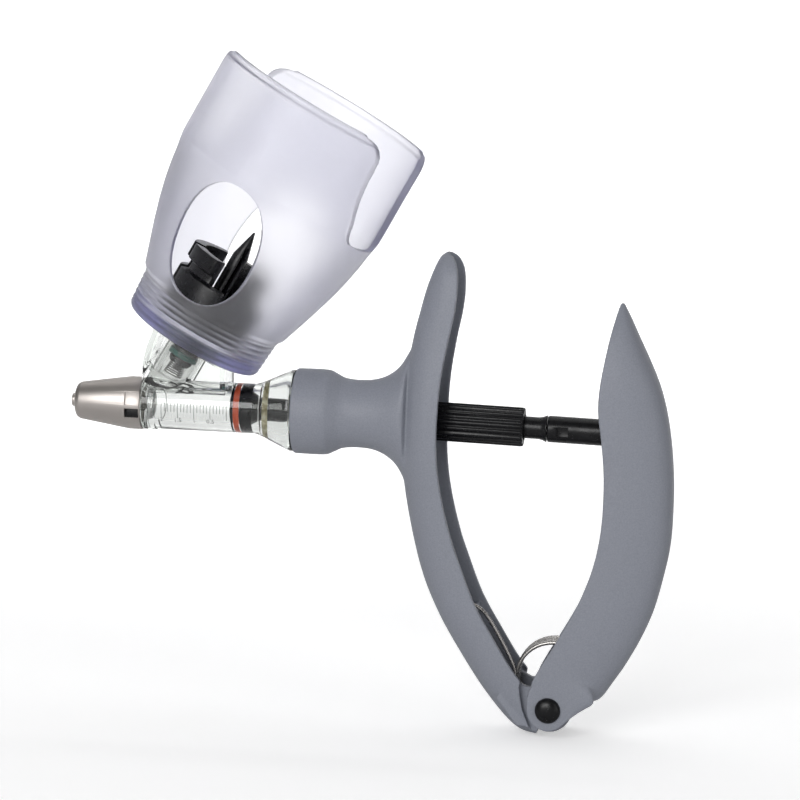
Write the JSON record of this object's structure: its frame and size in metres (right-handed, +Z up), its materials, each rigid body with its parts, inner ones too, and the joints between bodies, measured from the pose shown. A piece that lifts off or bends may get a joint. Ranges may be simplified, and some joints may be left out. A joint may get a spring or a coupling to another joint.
{
  "type": "bottle-mounted automatic syringe",
  "caption": "Spring-return hand syringe with a clear dosing barrel, a steel luer nozzle, a squeeze lever and a frosted cup that holds an upturned bottle.",
  "frame": {"origin": "middle of the front face of the male luer cone, on the barrel's axis", "axes": "+X from the nozzle towards the lever along the barrel's axis, +Z up towards the bottle cup, +Y across the middle plane"},
  "size_m": [0.1872, 0.0698, 0.205],
  "materials": {
    "grey_plastic": "satin, fine grain",
    "black_plastic": "smooth",
    "bright_steel": "fine turned grain",
    "clear_plastic": "polished, see-through",
    "frosted_plastic": "frosted, translucent",
    "orange_rubber": "smooth",
    "amber_rubber": "smooth",
    "teal_rubber": "smooth"
  },
  "bodies": {
    "root": {"nose_cone": "bright_steel", "luer_insert": "bright_steel", "outlet_valve_seat": "teal_rubber", "outlet_spring": "bright_steel", "nose_gasket": "clear_plastic", "barrel": "clear_plastic", "rear_seal_ring": "amber_rubber", "rod_guide": "black_plastic", "inlet_housing": "clear_plastic", "inlet_valve_seat": "teal_rubber", "inlet_spring": "bright_steel", "cup_seal_ring": "teal_rubber", "bottle_spike": "black_plastic", "bottle_collar": "black_plastic", "handle_shell": "grey_plastic", "torsion_spring": "bright_steel"},
    "lever": {"lever_shell": "grey_plastic", "lever_cross_pin": "bright_steel", "pivot_screw": "black_plastic", "pivot_nut": "black_plastic", "pivot_bush": "bright_steel"},
    "rod": {"rod_link": "black_plastic", "rod_end": "black_plastic"},
    "dose_dial": {"dose_dial": "black_plastic"},
    "piston": {"piston_head": "black_plastic", "piston_o_ring": "orange_rubber", "piston_rod": "black_plastic"},
    "bottle_cup": {"bottle_cup": "frosted_plastic"},
    "inlet_valve": {"inlet_valve": "black_plastic"},
    "outlet_valve": {"outlet_valve": "black_plastic"}
  },
  "joints": [
    {"name": "lever_squeeze", "type": "hinge", "parent": "root", "child": "lever", "pos_m": [0.1525, 0, -0.0865], "axis": [0, -1, 0], "range_deg": [0, 15.3], "stiffness_Nm_per_rad": 3, "springref_deg": -6.88, "deforming": ["torsion_spring"]},
    {"name": "rod_slide", "type": "slide", "parent": "root", "child": "rod", "axis": [-1, 0, 0], "range_m": [0, 0.023]},
    {"name": "dose_dial_turn", "type": "hinge", "parent": "rod", "child": "dose_dial", "pos_m": [0.1125, 0, -0.0011], "axis": [0.9998, 0, -0.0192], "range_deg": [0, 720]},
    {"name": "piston_extend", "type": "slide", "parent": "rod", "child": "piston", "axis": [-1, 0, 0], "range_m": [0, 0.002]},
    {"name": "cup_turn", "type": "hinge", "parent": "root", "child": "bottle_cup", "pos_m": [0.0382, 0, 0.0221], "axis": [0.4818, 0, 0.8763], "continuous": true},
    {"name": "inlet_valve_lift", "type": "slide", "parent": "root", "child": "inlet_valve", "axis": [-0.4818, 0, -0.8763], "range_m": [0, 0.0009], "stiffness_N_per_m": 60, "springref_m": -0.003, "deforming": ["inlet_spring"]},
    {"name": "outlet_valve_lift", "type": "slide", "parent": "root", "child": "outlet_valve", "axis": [-1, 0, 0], "range_m": [0, 0.0008], "stiffness_N_per_m": 60, "springref_m": -0.003, "deforming": ["outlet_spring"]}
  ],
  "couplings": [
    {"joint": "rod_slide", "follows": "lever_squeeze", "m_per_rad": 0.0861},
    {"joint": "dose_dial_turn", "follows": "piston_extend", "rad_per_m": 6283.2}
  ]
}
